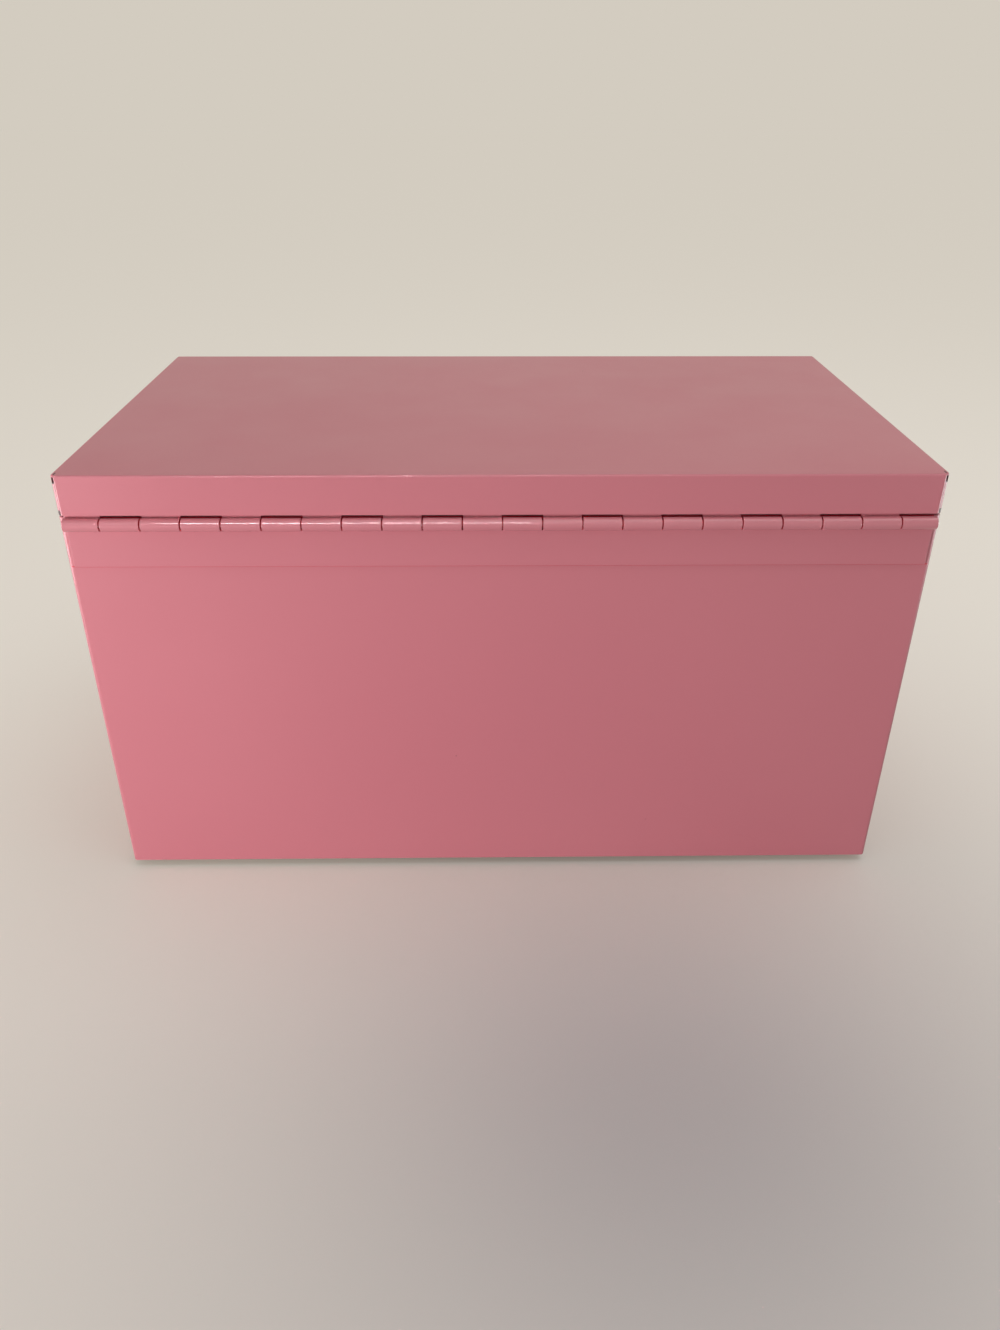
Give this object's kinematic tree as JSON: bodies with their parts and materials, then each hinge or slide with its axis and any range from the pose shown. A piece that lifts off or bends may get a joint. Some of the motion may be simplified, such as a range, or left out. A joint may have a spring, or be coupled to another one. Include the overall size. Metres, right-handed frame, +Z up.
{
  "type": "small tool chest",
  "caption": "Small sheet-steel tool chest: a hinged lid over an open till, with drawers on ball slides under it, a cam lock, lid stays and drop handles.",
  "frame": {"origin": "on the surface the feet stand on, at the middle of the whole chest's width and depth", "axes": "+Z up, the drawers open towards -Y, the lid's hinge is along the back at +Y, +X to the right seen from the front"},
  "size_m": [0.3038, 0.1668, 0.1566],
  "materials": {
    "pink_paint": "smooth semi-gloss pink enamel on sheet steel",
    "zinc_plate": "bright zinc plating",
    "bearing_steel": "polished balls",
    "chrome_plate": "bright chrome",
    "satin_aluminium": "satin anodised extrusion",
    "black_rubber": "matt black rubber",
    "black_grip": "matt black vinyl"
  },
  "bodies": {
    "cabinet": {"body_shell": "pink_paint", "base_pan": "pink_paint", "till_floor": "pink_paint", "till_rail": "pink_paint", "till_liner": "black_rubber", "rubber_feet": "black_rubber", "foot_screws": "zinc_plate", "hinge_lower_leaf": "pink_paint", "hinge_pin": "pink_paint", "body_stay_studs": "zinc_plate", "lid_rests": "black_rubber", "lock_barrel": "chrome_plate", "lock_nut": "zinc_plate", "left_handle_plate": "chrome_plate", "right_handle_plate": "chrome_plate", "handle_rivets": "zinc_plate", "lower_left_slide_rail": "zinc_plate", "lower_right_slide_rail": "zinc_plate", "upper_left_slide_rail": "zinc_plate", "upper_right_slide_rail": "zinc_plate"},
    "lid": {"lid_shell": "pink_paint", "hinge_upper_leaf": "pink_paint", "lid_stay_studs": "zinc_plate", "lock_catch": "zinc_plate"},
    "left_stay": {"left_lid_stay": "zinc_plate"},
    "right_stay": {"right_lid_stay": "zinc_plate"},
    "lock_cylinder": {"lock_plug": "chrome_plate", "lock_cam": "zinc_plate", "cam_screw": "zinc_plate"},
    "left_handle": {"left_handle_bail": "chrome_plate", "left_handle_grip": "black_grip"},
    "right_handle": {"right_handle_bail": "chrome_plate", "right_handle_grip": "black_grip"},
    "lower_drawer": {"lower_drawer_front": "pink_paint", "lower_drawer_tray": "pink_paint", "lower_drawer_liner": "black_rubber", "lower_drawer_pull": "satin_aluminium", "lower_drawer_screws": "zinc_plate", "lower_left_slide_runner": "zinc_plate", "lower_right_slide_runner": "zinc_plate", "lower_runner_rivets": "zinc_plate"},
    "lower_left_cage": {"lower_left_ball_cage": "zinc_plate", "lower_left_balls": "bearing_steel"},
    "lower_right_cage": {"lower_right_ball_cage": "zinc_plate", "lower_right_balls": "bearing_steel"},
    "upper_drawer": {"upper_drawer_front": "pink_paint", "upper_drawer_tray": "pink_paint", "upper_drawer_liner": "black_rubber", "upper_drawer_pull": "satin_aluminium", "upper_drawer_screws": "zinc_plate", "upper_left_slide_runner": "zinc_plate", "upper_right_slide_runner": "zinc_plate", "upper_runner_rivets": "zinc_plate"},
    "upper_left_cage": {"upper_left_ball_cage": "zinc_plate", "upper_left_balls": "bearing_steel"},
    "upper_right_cage": {"upper_right_ball_cage": "zinc_plate", "upper_right_balls": "bearing_steel"}
  },
  "joints": [
    {"name": "lid_hinge", "type": "hinge", "parent": "cabinet", "child": "lid", "pos_m": [0, 0.08125, 0.1406], "axis": [-1, 0, 0], "range_deg": [0, 95]},
    {"name": "lock_turn", "type": "hinge", "parent": "cabinet", "child": "lock_cylinder", "pos_m": [0, -0.07338, 0.1211], "axis": [0, -1, 0], "range_deg": [0, 90]},
    {"name": "left_stay_pivot", "type": "hinge", "parent": "lid", "child": "left_stay", "pos_m": [-0.1372, 0.06076, 0.1486], "axis": [-1, 0, 0], "range_deg": [-47.5, 0]},
    {"name": "left_handle_swing", "type": "hinge", "parent": "cabinet", "child": "left_handle", "pos_m": [-0.1474, 0, 0.1206], "axis": [0, 1, 0], "range_deg": [0, 90]},
    {"name": "right_stay_pivot", "type": "hinge", "parent": "lid", "child": "right_stay", "pos_m": [0.1372, 0.06076, 0.1486], "axis": [-1, 0, 0], "range_deg": [-47.5, 0]},
    {"name": "right_handle_swing", "type": "hinge", "parent": "cabinet", "child": "right_handle", "pos_m": [0.1474, 0, 0.1206], "axis": [0, -1, 0], "range_deg": [0, 90]},
    {"name": "lower_drawer_slide", "type": "slide", "parent": "cabinet", "child": "lower_drawer", "axis": [0, -1, 0], "range_m": [0, 0.098]},
    {"name": "lower_left_cage_slide", "type": "slide", "parent": "cabinet", "child": "lower_left_cage", "axis": [0, -1, 0], "range_m": [0, 0.049]},
    {"name": "lower_right_cage_slide", "type": "slide", "parent": "cabinet", "child": "lower_right_cage", "axis": [0, -1, 0], "range_m": [0, 0.049]},
    {"name": "upper_drawer_slide", "type": "slide", "parent": "cabinet", "child": "upper_drawer", "axis": [0, -1, 0], "range_m": [0, 0.098]},
    {"name": "upper_left_cage_slide", "type": "slide", "parent": "cabinet", "child": "upper_left_cage", "axis": [0, -1, 0], "range_m": [0, 0.049]},
    {"name": "upper_right_cage_slide", "type": "slide", "parent": "cabinet", "child": "upper_right_cage", "axis": [0, -1, 0], "range_m": [0, 0.049]}
  ],
  "couplings": [
    {"joint": "left_stay_pivot", "follows": "lid_hinge", "ratio": -0.5},
    {"joint": "right_stay_pivot", "follows": "lid_hinge", "ratio": -0.5},
    {"joint": "lower_left_cage_slide", "follows": "lower_drawer_slide", "ratio": 0.5},
    {"joint": "lower_right_cage_slide", "follows": "lower_drawer_slide", "ratio": 0.5},
    {"joint": "upper_left_cage_slide", "follows": "upper_drawer_slide", "ratio": 0.5},
    {"joint": "upper_right_cage_slide", "follows": "upper_drawer_slide", "ratio": 0.5}
  ]
}
